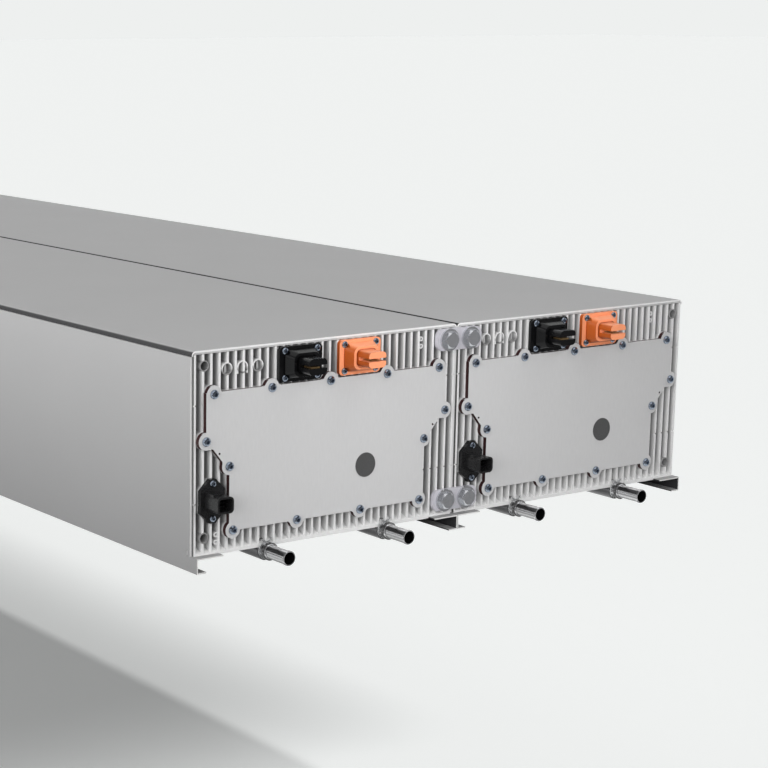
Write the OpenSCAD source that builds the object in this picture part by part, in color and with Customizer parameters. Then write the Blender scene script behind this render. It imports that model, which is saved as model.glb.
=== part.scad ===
// Two long liquid-cooled battery modules, bolted side by side at their ribbed end castings.
// Each module stands on two channel legs and carries its sockets, access cover and coolant stubs at the front.
// Front is -Y, right is +X, up is +Z. The origin is on the floor, under the middle of the whole unit.

/* [Module body] */
// Width of one module over its side walls
module_w = 381; // [378:0.1:390]
// Gap between the two modules
module_gap = 0.4; // [0.2:0.1:4]
// Height from the underside of the end castings to the top cover
body_h = 235; // [230:1:260]
// Thickness of the side walls and of the floor
sheet_t = 2.5; // [1.5:0.5:4]
// Thickness of the top cover
top_t = 2; // [1:0.5:3]
// Outer bend radius of the top cover's long edges
top_bend_r = 5; // [4:0.5:5]
// Height of the top cover's edge, flat and bend together
top_edge_h = 6; // [5.5:0.5:9]
// Open line between the top cover's edge and the side wall
top_line = 0.7; // [0.3:0.1:1.5]
// How far the side walls stay behind the rib fronts
wall_setback = 3.4; // [1:0.2:6]

/* [Legs] */
// Height of the legs under the castings
leg_h = 16.5; // [12:0.5:24]
// Thickness of the leg channels
leg_t = 1.5; // [1:0.5:3]
// Width of the leg's top flange
leg_flange_w = 36; // [24:1:44]
// Width of the leg's foot flange
foot_w = 13; // [8:1:20]
// How far the legs reach past the rib fronts at both ends
leg_overhang = 11; // [4:1:16]

/* [End castings] */
// Number of gaps between the upright ribs
rib_gaps = 34; // [30:2:38]
// Width of a rib
rib_w = 2.8; // [2:0.1:5]
// Depth of the ribs
rib_depth = 16; // [10:0.5:20]
// Thickness of the wall behind the ribs
web_t = 8; // [5:0.5:12]
// Thickness of the rim above the ribs
rim_top = 2; // [1.5:0.5:5]
// Height of the rim below the ribs, at its front
rim_bottom = 4; // [2:0.5:5]
// Height of the rim below the ribs, at its back
rim_ramp = 13; // [8:1:20]
// Distance of the two grooves across the ribs from the casting's underside and from the module's top
groove_z = 61.5; // [50:0.5:70]
// Width and depth of these grooves
groove = 1.6; // [1:0.1:3]

/* [Access cover] */
// Sideways place of the cover, sockets and ports against the middle rib
fit_x = -2.6; // [-4:0.1:4]
// Thickness of the cover
cover_t = 2.5; // [1.5:0.5:4]
// Thickness of the gasket
gasket_t = 3; // [2:0.5:5]
// Radius of the round ears at the screws
ear_r = 10; // [8:0.5:12]
// Radius where an ear runs into the straight edge
ear_fillet = 5; // [2:0.5:8]
// Distance from the casting's edge to the edge of the cover's upper part
cover_side = 15.65; // [15:0.05:20]
// How much narrower the cover's lower part is on each side
cover_step = 31.5; // [24:0.5:36]
// Distance from the module's top to the cover's upper edge
cover_drop = 47.5; // [47:0.5:60]
// Distance from the cover's upper edge down to the screws in its sides
side_screw_drop = 54.5; // [45:0.5:60]
// Distance from those screws down to the screws in its steps
step_screw_drop = 31.5; // [28:0.5:40]
// Height of the cover's lower edge
cover_bottom = 26.5; // [24:0.5:30]
// Head diameter of the cover screws
cover_head_d = 10.8; // [9:0.1:13]
// Head height of the cover screws
cover_head_h = 3.6; // [2.5:0.1:5]
// Shank diameter of the cover screws
cover_screw_d = 6; // [4:0.5:8]
// Length of the cover screws under the head
cover_screw_len = 16; // [12:1:18]
// Diameter of the vent disc
vent_d = 29.2; // [20:0.2:40]
// Thickness of the vent disc
vent_t = 0.6; // [0.4:0.1:2]

/* [Power sockets] */
// Distance of each power socket from the fittings' centre line
socket_x = 42.5; // [40:0.5:50]
// Distance from the module's top down to the middle of the power sockets
socket_drop = 25.2; // [24.5:0.1:26]
// Width of the socket flange
flange_w = 60; // [56:0.5:64]
// Height of the socket flange
flange_h = 41; // [38:0.5:41]
// Thickness of the socket flange
flange_t = 5; // [3:0.5:8]
// Distance between the flange screws across
flange_screw_w = 45.5; // [42:0.5:48]
// Distance between the flange screws upwards
flange_screw_h = 31; // [29:0.5:32]
// Reach of the socket's collar in front of the ribs
collar_reach = 17; // [12:0.5:24]
// Reach of the plug jaws in front of the ribs
jaw_reach = 37.5; // [30:0.5:45]
// Width of the jaws
jaw_w = 25; // [20:0.5:28]
// Height over both jaws
jaw_h = 18.5; // [15:0.5:20]
// Height of the slot between the jaws
slot_h = 3.8; // [2.5:0.1:6]

/* [Signal socket] */
// Distance from the casting's edge to the middle of the signal socket
signal_inset = 22.45; // [19:0.05:26]
// Height of the signal socket over the casting's underside
signal_z = 64; // [60:0.5:70]
// Width of the six-sided flange
signal_flange_w = 33; // [30:0.5:36]
// Height of the six-sided flange
signal_flange_h = 51; // [48:0.5:54]
// Distance between its two screws
signal_screws = 40; // [36:0.5:42]
// Width of the socket's mouth
mouth_w = 22; // [20:0.5:25]
// Height of the socket's mouth
mouth_h = 19; // [17:0.5:22]
// Wall of the socket's mouth
mouth_wall = 2.2; // [1.5:0.1:3]
// Reach of the mouth in front of the ribs
mouth_reach = 31; // [24:0.5:40]

/* [Coolant ports] */
// Distance of each port from the fittings' centre line
port_x = 87; // [80:0.5:95]
// Height of the port axis over the floor
port_z = 12.6; // [12.4:0.1:13]
// Outer diameter of the stub tube
stub_d = 16.5; // [14:0.5:18]
// Wall of the stub tube
stub_wall = 0.8; // [0.6:0.1:2]
// Reach of the stub tube in front of the ribs
stub_reach = 48; // [36:0.5:60]
// Depth of the stub tube behind the rib fronts
stub_depth = 30; // [20:1:36]
// Outer diameter of the round boss that holds the stub
port_boss_d = 24; // [22:0.5:24.5]
// Length of the boss behind the rib fronts
port_boss_len = 62; // [50:1:70]

/* [Module link] */
// Length of a link plate
link_w = 69; // [60:1:76]
// Height of a link plate
link_h = 26; // [22:1:30]
// Thickness of a link plate
link_t = 5; // [3:0.5:8]
// Diameter of the link bolts
link_bolt_d = 12; // [8:1:12]
// Flange diameter of the link bolts
link_flange_d = 27; // [22:1:28]
// Height of the lower bolt row over the casting's underside
link_low_z = 21.2; // [20:0.1:24]
// Distance from the module's top down to the upper bolt row
link_drop = 17.6; // [17:0.1:21]
// Distance from the casting's edge to the corner holes
corner_inset = 13.9; // [13:0.1:18]
// Diameter of the round bosses round the corner holes
corner_boss_d = 12.5; // [12:0.5:18]
// Depth of the corner holes
corner_hole_len = 21; // [18:0.5:22]

/* [Cell stack] */
// Cells in each of the two rows
cells_per_row = 28; // [2:1:30]
// Room between the cells and the side wall
side_gap = 13.15; // [10:0.05:20]
// Thickness of a cell
cell_t = 71; // [60:1:80]
// Room over the cells, up to the top cover
head_room = 12; // [11:0.5:25]
// Thickness of the pad between two cells
pad_t = 1.5; // [1:0.5:3]
// Thickness of the board between the two rows
divider_t = 3; // [2:0.5:5]
// Thickness of the sheet under the cells
thermal_t = 1; // [0.5:0.5:2]
// Distance of each terminal from the end of its cell
terminal_inset = 27; // [20:0.5:36]
// Diameter of a terminal
terminal_d = 18; // [12:1:20]
// Height of a terminal
terminal_h = 3; // [2:0.5:4]
// Width of a busbar
bar_w = 20; // [14:1:22]
// Thickness of a busbar
bar_t = 3; // [1:0.5:3]
// Thickness of the end plates
end_plate_t = 15; // [10:1:20]
// How much lower the end plates are than the cells
end_plate_drop = 15; // [5:1:50]
// Thickness of the cold plate
cold_plate_t = 10; // [9:0.5:11]
// Depth of its coolant groove
coolant_groove_h = 6; // [4:0.5:7]
// Length of the electronics space, from the rib fronts to the front end plate
front_bay = 88; // [84:1:120]
// Length of the space from the rear end plate to the rear rib fronts
rear_bay = 53.5; // [40:0.5:100]

/* [Electronics] */
// Room between the electronics tray and the power sockets over it
tray_room = 10.8; // [6:0.2:40]
// Thickness of the tray
tray_t = 2; // [1:0.5:3]
// Length of the tray's foot
tray_len = 52; // [48:1:54]
// Width of the control board
board_w = 220; // [160:5:260]
// Height of the control board
board_h = 90; // [60:5:90]
// Thickness of the control board
board_t = 1.6; // [1:0.2:3]
// Length of the board's posts
post_len = 8; // [5:1:12]

/* [Hidden] */
$fn = 64;
// Running clearance between parts that fit into each other
clear = 0.3;
// Overlap that joins the solids of one piece
join = 0.5;
// Reach of a cutting solid past the face that it cuts
past = 1;
// Overlap of two arcs that run into each other
blend = 0.03;

half_w = module_w / 2;
inner_half_w = half_w - sheet_t;
casting_w = 2 * inner_half_w;
rib_pitch = (casting_w - rib_w) / rib_gaps;
bolt_head_h = 8;
casting_h = body_h - top_t;
casting_depth = rib_depth + web_t;
casting_z = leg_h;
casting_top = casting_z + casting_h;
unit_top = leg_h + body_h;
casting_corner_r = top_bend_r - top_t + sheet_t - top_t;
module_pitch = module_w + module_gap;
cell_pitch = cell_t + pad_t;
socket_z = body_h - socket_drop;
cover_half_w = inner_half_w - cover_side;
cover_low_half_w = cover_half_w - cover_step;
cover_top = body_h - cover_drop;
link_high_z = body_h - link_drop;
stack_len = cells_per_row * cell_pitch - pad_t;
module_len = front_bay + stack_len + 2 * end_plate_t + rear_bay;
link_reach = link_t + bolt_head_h;
front_y = (stub_reach - module_len - max(leg_overhang, link_reach)) / 2;
corner_x = inner_half_w - corner_inset;
floor_z = leg_h + leg_t;
floor_top = floor_z + sheet_t;
inside_front = casting_depth + 2;
wall_top = unit_top - top_edge_h - top_line;
cold_top = floor_top + cold_plate_t;
cell_z = cold_top + thermal_t;
cell_w = inner_half_w - side_gap - divider_t / 2;
cell_h = unit_top - top_t - head_room - cell_z;
terminal_x = cell_w / 2 - terminal_inset;
end_plate_h = cell_h - end_plate_drop;
cell_top = cell_z + cell_h;
terminal_top = cell_top + terminal_h;
row_x = (cell_w + divider_t) / 2;
stack_y = front_bay + end_plate_t;
link_x = module_pitch - 2 * corner_x;
stack_end = stack_y + stack_len;
cell_mid_y = stack_y + cell_t / 2;
cover_z = casting_z;
tapped = 0.84;
socket_abs_z = casting_z + socket_z;
signal_abs_x = signal_inset - inner_half_w;
signal_abs_z = casting_z + signal_z;
barrel_w = 34;
barrel_h = 24;
barrel_end = casting_depth + 2;
signal_barrel_w = 20;
signal_barrel_h = 16;
signal_barrel_r = 4;
signal_side_h = 13;
signal_top_w = 4;
flange_r = 5;
flange_screw_d = 4;
flange_screw_len = 15;
flange_head_d = 8;
flange_head_h = 2.6;
flange_key_d = 3.4;
cover_key_d = 4.6;
collar_base_w = 47;
collar_base_h = 33;
collar_front_w = 36;
collar_front_h = 27;
collar_r = 8;
jaw_r = 5;
recess_w = jaw_w + 4;
recess_h = jaw_h + 3;
recess_depth = 3;
slot_depth = 19;
contact_w = 12;
contact_t = 1;
contact_len = 14;
mouth_depth = 17;
mouth_r = 5;
pin_d = 1.6;
pin_len = 10;
pin_pitch = 4;
collar_ring_d = 21;
collar_ring_t = 3.5;
collar_ring_y = -8.5;
clip_t = 1.6;
clip_d = 22;
bead_h = 0.6;
bead_len = 2;
bolt_flange_t = 2.5;
bolt_hex = 19;
ring_boss_d = 14.4;
ring_wall = 1.3;
ring_boss_x = 65.2 - inner_half_w;
ring_boss_step = 21.2;
boss_drop = 23.2;
ring_boss_z = unit_top - boss_drop;
ring_boss_depth = 6;
ring_cup = 5;
ring_boss_proud = 0.6;
small_boss_d = 6;
small_boss_hole = 2.6;
small_boss_inset = 2;
small_boss_step = 8.8;
upper_small_boss = [inner_half_w - 51.15, unit_top - boss_drop];
lower_small_boss = [31.7 - inner_half_w, casting_z + 13.8];
slit_y = 5;
slit_w = 1.4;
slit_h = 6;
groove_w = port_boss_d + 2;
lip_t = 1.6;
lip_h = 8;
rim_skin = 4;
contactor_w = 60;
contactor_len = 38;
contactor_x = 50;
fuse_d = 26;
fuse_len = 80;
bay_half_w = cover_half_w - 23;
bay_low_half_w = cover_low_half_w - 23.5;
bay_top_z = cover_top - 15.5;
bay_ledge_z = cover_top - side_screw_drop - 11;
bay_step_z = cover_top - side_screw_drop - step_screw_drop - 5.5;
bay_low_z = cover_bottom + 17.5;
bay_margin = 3;
tray_w = 2 * bay_half_w;
tray_h = socket_abs_z - barrel_h / 2 - tray_room - cold_top;
board_mid_z = cold_top + tray_h - board_h / 2 - 4;
contactor_h = board_mid_z - board_h / 2 - 20 - cold_top - tray_t;
strip_w = 34;
chip_w = 22;
chip_t = 4;
chip_pitch = 38;
strip_t = 1.6;
electronics_y = casting_depth + 8;

// Screw places of the access cover, [x, z] against its centre line and the casting's underside
screw_top_z = cover_top - 2;
screw_side = [cover_half_w, cover_top - side_screw_drop];
screw_step = [cover_low_half_w, screw_side[1] - step_screw_drop];
screw_low_z = cover_bottom + 0.7;
screw_top_x = [0, 83, cover_half_w - 10.5];
screw_low_x = [46.1, cover_low_half_w - 5.2];
pilot = [cover_half_w - 18, screw_side[1] - 15.8];
pilot_d = 2.6;
vent_at = [53, 80];
upper_screws = [for (x = screw_top_x, s = x == 0 ? [1] : [-1, 1]) [s * x, screw_top_z]];
lower_screws = [for (x = screw_low_x, s = [-1, 1]) [s * x, screw_low_z]];
side_screws = [for (p = [screw_side, screw_step], s = [-1, 1]) [s * p[0], p[1]]];
cover_screw_places = concat(upper_screws, lower_screws, side_screws);

// Places one module's pieces: side is -1 for the left module and 1 for the right one
module in_module(side) {
    translate([side * module_pitch / 2, front_y, 0]) children();
}

// Turns a flat outline in X and Z into a plate from y_front to y_back
module plate_y(y_front, y_back) {
    translate([0, y_back, 0]) rotate([90, 0, 0]) linear_extrude(y_back - y_front) children();
}

// A round bar along Y
module bar_y(d, y_front, y_back) {
    translate([0, y_front, 0]) rotate([-90, 0, 0]) cylinder(d = d, h = y_back - y_front);
}

// A flat rectangle with round corners, centred
module round_rect(w, h, r) {
    square([w - 2 * r, h], center = true);
    square([w, h - 2 * r], center = true);
    for (sx = [-1, 1], sz = [-1, 1]) translate([sx * (w / 2 - r), sz * (h / 2 - r)]) circle(r);
}

// A box given by its middle in X, its front in Y and its underside in Z
module box_at(x, y, z, w, l, h) {
    translate([x - w / 2, y, z]) cube([w, l, h]);
}

// Shell: side walls, floor and the lips that the top cover fits over
module side_wall(s) {
    box_at(s * (half_w - sheet_t / 2), wall_setback, floor_z, sheet_t,
        module_len - 2 * wall_setback, wall_top - floor_z);
}

module shell_lip() {
    low = wall_top - lip_h;
    seat_x = inner_half_w + join;
    plate_y(inside_front, module_len - inside_front) polygon([
        [inner_half_w - lip_t, low], [seat_x, low], [seat_x, wall_top - join],
        [inner_half_w, wall_top - join], [inner_half_w, casting_top - clear - lip_t],
        [inner_half_w - lip_t, casting_top - clear]
    ]);
}

module shell() color("lightgrey") difference() {
    union() {
        side_wall(-1);
        side_wall(1);
        box_at(0, inside_front, floor_z, module_w - sheet_t, module_len - 2 * inside_front, sheet_t);
        shell_lip();
        mirror([1, 0, 0]) shell_lip();
    }
    for (s = [-1, 1]) {
        box_at(fit_x + s * port_x, 0, floor_z - past, port_boss_d + 2 * clear,
            port_boss_len + clear, sheet_t + 2 * past);
        box_at(s * half_w, wall_setback + slit_y, floor_z - past, 3 * sheet_t, slit_w, slit_h + past);
    }
}

// Top cover: flat sheet with bent long edges
module edge_outline(w, h, r) {
    translate([-w / 2 + r, 0]) square([w - 2 * r, h]);
    translate([-w / 2, 0]) square([w, h - r]);
    intersection() {
        for (s = [-1, 1]) translate([s * (w / 2 - r), h - r]) circle(r);
        translate([-w / 2, h - r]) square([w, r]);
    }
}

module top_cover() color("silver") {
    translate([0, 0, unit_top - top_edge_h]) plate_y(past / 2, module_len - past / 2) difference() {
        edge_outline(module_w, top_edge_h, top_bend_r);
        translate([0, -past]) {
            edge_outline(module_w - 2 * top_t, top_edge_h - top_t + past, top_bend_r - top_t);
        }
    }
}

// Leg: a channel with a wide top flange and a narrow foot, both turned inwards
module leg(s) color("darkgrey") translate([0, -leg_overhang, 0]) {
    leg_len = module_len + 2 * leg_overhang;
    web_x = s * (half_w - leg_t / 2);
    box_at(web_x, 0, 0, leg_t, leg_len, floor_z);
    box_at(s * (half_w - leg_flange_w / 2), 0, leg_h, leg_flange_w, leg_len, leg_t);
    box_at(s * (half_w - foot_w / 2), 0, 0, foot_w, leg_len, leg_t);
}

// End casting: ribs, rims and a wall behind them
module rib(i) {
    box_at(i * rib_pitch, 0, casting_z, rib_w, rib_depth + join, casting_h);
}

module ribs() {
    difference() {
        for (i = [-rib_gaps / 2 : rib_gaps / 2]) rib(i);
        for (z = [groove_z, body_h - groove_z]) {
            box_at(0, -past, casting_z + z - groove / 2, casting_w + 2, past + groove, groove);
        }
    }
}

module bottom_rim() {
    translate([-casting_w / 2, 0, casting_z]) rotate([90, 0, 90]) linear_extrude(casting_w) {
        polygon([[0, 0], [rib_depth + join, 0], [rib_depth + join, rim_ramp], [0, rim_bottom]]);
    }
}

// Rounds the top corners of a casting to the bend of the top cover
module top_corner_cut() {
    r = casting_corner_r;
    translate([inner_half_w - r, 0, casting_top - r]) plate_y(-past, casting_depth + past) difference() {
        square(r + past);
        circle(r);
    }
}

module corner_places() {
    for (s = [-1, 1], z = [link_low_z, link_high_z]) translate([s * corner_x, 0, casting_z + z]) {
        children();
    }
}

module casting_blank() {
    difference() {
        union() {
            ribs();
            bottom_rim();
            box_at(0, 0, casting_top - rim_top, casting_w, rib_depth + join, rim_top);
            box_at(0, rib_depth, casting_z, casting_w, web_t, casting_h);
            corner_places() bar_y(corner_boss_d, 0, rib_depth + join);
        }
        corner_places() bar_y(link_bolt_d * tapped, -past, corner_hole_len);
        top_corner_cut();
        mirror([1, 0, 0]) top_corner_cut();
        for (s = [-1, 1]) {
            box_at(s * half_w, -past, casting_z - past, 2 * (leg_flange_w + clear),
                casting_depth + 2 * past, leg_t + past);
        }
    }
}

// One round ear on a straight edge: the edge runs along X at height 0, the screw is at height -e
module ear(e) {
    dx = sqrt(pow(ear_r + ear_fillet, 2) - pow(ear_fillet + e, 2));
    tx = dx * ear_r / (ear_r + ear_fillet);
    ty = (ear_fillet + e) * ear_r / (ear_r + ear_fillet) - e;
    translate([0, -e]) circle(ear_r + 2 * blend);
    difference() {
        polygon([[-dx, -join], [dx, -join], [dx, 0], [tx, ty], [-tx, ty], [-dx, 0]]);
        for (s = [-1, 1]) translate([s * dx, ear_fillet - blend]) circle(ear_fillet);
    }
}

// Outline of the access cover, its gasket and its seat, in X and Z
module cover_outline() {
    ledge = screw_side[1] - ear_r + join;
    step_x = screw_step[0] + ear_r - join;
    polygon([
        [-cover_half_w, cover_top], [-cover_half_w, ledge], [-cover_half_w + 9, ledge],
        [-step_x, screw_step[1] + 6], [-step_x, screw_step[1]],
        [-cover_low_half_w, screw_step[1]], [-cover_low_half_w, cover_bottom],
        [cover_low_half_w, cover_bottom], [cover_low_half_w, screw_step[1]],
        [step_x, screw_step[1]], [step_x, screw_step[1] + 6],
        [cover_half_w - 9, ledge], [cover_half_w, ledge], [cover_half_w, cover_top]
    ]);
    for (x = [-screw_top_x[1], 0, screw_top_x[1]]) translate([x, cover_top]) {
        ear(cover_top - screw_top_z);
    }
    for (s = [-1, 1]) {
        translate([s * screw_top_x[2], screw_top_z]) circle(ear_r);
        translate([s * screw_low_x[1], screw_low_z]) circle(ear_r);
        translate([s * screw_side[0], screw_side[1]]) circle(ear_r);
        translate([s * screw_step[0], screw_step[1]]) circle(ear_r);
        translate([s * screw_low_x[0], cover_bottom]) rotate(180) ear(screw_low_z - cover_bottom);
    }
}

// Opening of the electronics space behind the cover
module bay_outline(inset) {
    hw = bay_half_w - inset;
    lw = bay_low_half_w - inset;
    ledge = bay_ledge_z + inset / 2;
    polygon([
        [-hw, bay_top_z - inset], [-hw, ledge], [-lw, bay_step_z], [-lw, bay_low_z + inset],
        [lw, bay_low_z + inset], [lw, bay_step_z], [hw, ledge], [hw, bay_top_z - inset]
    ]);
}

module in_cover() {
    translate([fit_x, 0, cover_z]) children();
}

module cover_screw_axes() {
    in_cover() for (p = cover_screw_places) translate([p[0], 0, p[1]]) children();
}

module signal_flange_outline(inset) {
    w = signal_flange_w / 2 - inset;
    h = signal_flange_h / 2 - inset;
    polygon([[-w, -signal_side_h], [-signal_top_w, -h], [signal_top_w, -h], [w, -signal_side_h],
        [w, signal_side_h], [signal_top_w, h], [-signal_top_w, h], [-w, signal_side_h]]);
}

module in_signal() {
    translate([signal_abs_x, 0, signal_abs_z]) children();
}

module in_socket(s) {
    translate([fit_x + s * socket_x, 0, socket_abs_z]) children();
}

module flange_screw_axes() {
    for (s = [-1, 1]) in_socket(s) for (sx = [-1, 1], sz = [-1, 1]) {
        translate([sx * flange_screw_w / 2, 0, sz * flange_screw_h / 2]) children();
    }
}

module signal_screw_axes() {
    in_signal() for (sz = [-1, 1]) translate([0, 0, sz * signal_screws / 2]) children();
}

module port_axes() {
    for (s = [-1, 1]) translate([fit_x + s * port_x, 0, port_z]) children();
}

module front_seats() {
    in_cover() plate_y(0, rib_depth + join) cover_outline();
    for (s = [-1, 1]) in_socket(s) {
        plate_y(0, rib_depth + join) square([flange_w - 2, flange_h - 2], center = true);
    }
    in_signal() plate_y(0, rib_depth + join) signal_flange_outline(1);
}

module front_holes() {
    through = casting_depth + past;
    in_cover() plate_y(-past, through) bay_outline(0);
    cover_screw_axes() bar_y(cover_screw_d + clear, -past, cover_screw_len - cover_t - gasket_t + past);
    for (s = [-1, 1]) in_socket(s) {
        plate_y(-past, through) round_rect(barrel_w + 2 * clear, barrel_h + 2 * clear, collar_r);
    }
    in_signal() plate_y(-past, through) {
        round_rect(signal_barrel_w + 2 * clear, signal_barrel_h + 2 * clear, signal_barrel_r);
    }
    flange_screw_axes() bar_y(flange_screw_d + clear, -past, rib_depth);
    signal_screw_axes() bar_y(flange_screw_d + clear, -past, rib_depth);
    port_axes() {
        bar_y(stub_d + 2 * clear, -past, rim_skin + join);
        bar_y(port_boss_d + 2 * clear, rim_skin, through);
    }
}

// Two thin rings with an arch between them
module ring_boss_places() {
    for (s = [-1, 1]) translate([ring_boss_x + s * ring_boss_step, 0, ring_boss_z]) children();
}

module ring_bosses() {
    ring_boss_places() bar_y(ring_boss_d, -ring_boss_proud, rib_depth + join);
    inner_d = ring_boss_d - 2 * ring_wall;
    translate([ring_boss_x, 0, ring_boss_z]) plate_y(-ring_boss_proud, ring_boss_depth) difference() {
        union() {
            circle(d = ring_boss_d);
            translate([-ring_boss_d / 2, -ring_boss_d / 2]) square([ring_boss_d, ring_boss_d / 2]);
        }
        circle(d = inner_d);
        translate([-inner_d / 2, -ring_boss_d]) square([inner_d, ring_boss_d]);
    }
}

// Hollow of the two rings, down to the web, with a lowered piece of rib left across it
module ring_hollows() {
    ring_boss_places() bar_y(ring_boss_d - 2 * ring_wall, -past, ring_cup);
    difference() {
        ring_boss_places() bar_y(ring_boss_d - 2 * ring_wall, ring_cup - join, rib_depth);
        for (i = [-rib_gaps / 2 : rib_gaps / 2]) rib(i);
    }
}

module small_boss_pairs() {
    for (at = [upper_small_boss, lower_small_boss], i = [0, 1]) {
        translate([at[0], 0, at[1] + i * small_boss_step]) children();
    }
}

module front_casting() color("gainsboro") difference() {
    union() {
        casting_blank();
        difference() {
            front_seats();
            box_at(-half_w, -past, casting_z - past, 2 * (leg_flange_w + clear), past, leg_t);
        }
        ring_bosses();
        small_boss_pairs() bar_y(small_boss_d, small_boss_inset, rib_depth + join);
    }
    front_holes();
    ring_hollows();
    small_boss_pairs() bar_y(small_boss_hole, -past, rib_depth - 4);
}

module rear_casting() color("gainsboro") {
    translate([0, module_len, 0]) mirror([0, 1, 0]) casting_blank();
}

// Access cover with its gasket, screws and vent
module cover_holes() {
    for (p = cover_screw_places) translate(p) circle(d = cover_screw_d + 2 * clear);
    for (s = [-1, 1]) translate([s * pilot[0], pilot[1]]) circle(d = pilot_d);
}

module access_cover() color("silver") in_cover() {
    plate_y(-gasket_t - cover_t, -gasket_t) difference() {
        cover_outline();
        cover_holes();
    }
}

module cover_gasket() color("darkred") in_cover() {
    plate_y(-gasket_t, 0) difference() {
        cover_outline();
        bay_outline(-bay_margin);
        for (p = cover_screw_places) translate(p) circle(d = cover_screw_d + 2 * clear);
    }
}

module button_screw(head_d, head_h, d, len, socket_d) {
    edge = head_h * 0.28;
    rotate([-90, 0, 0]) {
        cylinder(d = d, h = len);
        difference() {
            rotate_extrude() polygon([
                [0, join], [0, -head_h], [head_d * 0.26, -head_h], [head_d * 0.38, -head_h * 0.84],
                [head_d * 0.46, -head_h * 0.58], [head_d / 2, -edge], [head_d / 2, 0],
                [d / 2 - 0.1, 0], [d / 2 - 0.1, join]
            ]);
            translate([0, 0, -head_h - past]) cylinder(d = socket_d, h = head_h * 0.62 + past, $fn = 6);
        }
    }
}

module cover_screws() color("lightsteelblue") cover_screw_axes() {
    translate([0, -gasket_t - cover_t, 0]) {
        button_screw(cover_head_d, cover_head_h, cover_screw_d, cover_screw_len, cover_key_d);
    }
}

module vent_disc() color("dimgray") in_cover() translate([vent_at[0], 0, vent_at[1]]) {
    bar_y(vent_d, -gasket_t - cover_t - vent_t, -gasket_t - cover_t);
}

// Power socket: flange on the ribs, tapered collar and two plug jaws with a slot between them
module collar_shell() {
    hull() for (sx = [-1, 1], sz = [-1, 1]) {
        translate([sx * (collar_base_w / 2 - collar_r), -flange_t + join,
            sz * (collar_base_h / 2 - collar_r)]) {
            bar_y(2 * collar_r, -join - 2, 0, $fn = 32);
        }
        translate([sx * (collar_front_w / 2 - collar_r), -collar_reach,
            sz * (collar_front_h / 2 - collar_r)]) {
            bar_y(2 * collar_r, 0, join, $fn = 32);
        }
    }
}

module power_socket(s) in_socket(s) difference() {
    union() {
        plate_y(-flange_t, 0) round_rect(flange_w, flange_h, flange_r);
        plate_y(0, barrel_end) round_rect(barrel_w, barrel_h, collar_r);
        difference() {
            collar_shell();
            plate_y(-collar_reach - past, -collar_reach + recess_depth) {
                round_rect(recess_w, recess_h, jaw_r + 1.5);
            }
        }
        plate_y(-jaw_reach, -collar_reach + recess_depth + join) round_rect(jaw_w, jaw_h, jaw_r);
    }
    box_at(0, -jaw_reach - past, -slot_h / 2, jaw_w + 2, slot_depth + past, slot_h);
    for (sx = [-1, 1], sz = [-1, 1]) {
        translate([sx * flange_screw_w / 2, 0, sz * flange_screw_h / 2]) {
            bar_y(flange_screw_d + clear, -flange_t - past, past);
            bar_y(flange_head_d + 2 * clear, -collar_reach, -flange_t);
        }
    }
}

module black_socket() color("black") power_socket(-1);

module orange_socket() color("orange") power_socket(1);

// Contacts in the power sockets and pins in the signal socket
module contacts() color("goldenrod") {
    for (s = [-1, 1]) in_socket(s) for (sz = [-1, 1]) {
        contact_y = -jaw_reach + slot_depth - contact_len;
        box_at(0, contact_y, sz > 0 ? slot_h / 2 - contact_t : -slot_h / 2, contact_w, contact_len,
            contact_t);
    }
    in_signal() for (ix = [-1.5 : 1.5], iz = [-0.5, 0.5]) {
        translate([ix * pin_pitch, 0, iz * pin_pitch]) {
            bar_y(pin_d, -mouth_reach + mouth_depth - pin_len, -mouth_reach + mouth_depth);
        }
    }
}

module signal_socket() color("dimgray") in_signal() difference() {
    union() {
        plate_y(-flange_t, 0) signal_flange_outline(0);
        plate_y(0, barrel_end) round_rect(signal_barrel_w, signal_barrel_h, signal_barrel_r);
        plate_y(-mouth_reach, -flange_t + join) round_rect(mouth_w, mouth_h, mouth_r);
        box_at(-mouth_w / 5, -mouth_reach + 10, 0, mouth_w / 2, mouth_reach - 10 - flange_t + join,
            mouth_h / 2 + 1.6);
        box_at(0, -mouth_reach + 13, -mouth_h / 2 - 1.2, mouth_w / 2,
            mouth_reach - 13 - flange_t + join, mouth_h / 2);
    }
    plate_y(-mouth_reach - past, -mouth_reach + mouth_depth) {
        round_rect(mouth_w - 2 * mouth_wall, mouth_h - 2 * mouth_wall, mouth_r - mouth_wall);
    }
    for (sz = [-1, 1]) translate([0, 0, sz * signal_screws / 2]) {
        bar_y(flange_screw_d + clear, -flange_t - past, past);
    }
}

module connector_screws() color("silver") {
    flange_screw_axes() translate([0, -flange_t, 0]) {
        button_screw(flange_head_d, flange_head_h, flange_screw_d, flange_screw_len, flange_key_d);
    }
    signal_screw_axes() translate([0, -flange_t, 0]) {
        button_screw(flange_head_d, flange_head_h, flange_screw_d, flange_screw_len, flange_key_d);
    }
}

// Coolant port: stub tube with a collar, held in a round boss under the casting
module coolant_stubs() color("silver") port_axes() difference() {
    union() {
        bar_y(stub_d, -stub_reach, stub_depth);
        bar_y(stub_d + 2 * bead_h, -stub_reach + 1, -stub_reach + 1 + bead_len);
        translate([0, collar_ring_y, 0]) bar_y(collar_ring_d, -collar_ring_t, 0);
    }
    bar_y(stub_d - 2 * stub_wall, -stub_reach - past, stub_depth + past);
}

module port_bosses() color("slategray") port_axes() difference() {
    bar_y(port_boss_d, -2, port_boss_len);
    box_at(0, -2 - past, casting_z - port_z, port_boss_d + past, rim_skin + clear + 2 + past,
        port_boss_d);
    bar_y(stub_d + clear, -2 - past, stub_depth + clear);
    bar_y(stub_d - 2 * stub_wall, stub_depth - past, port_boss_len - 6);
    translate([0, port_boss_len - 16, 0]) cylinder(d = stub_d - 4, h = port_boss_d);
}

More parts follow.
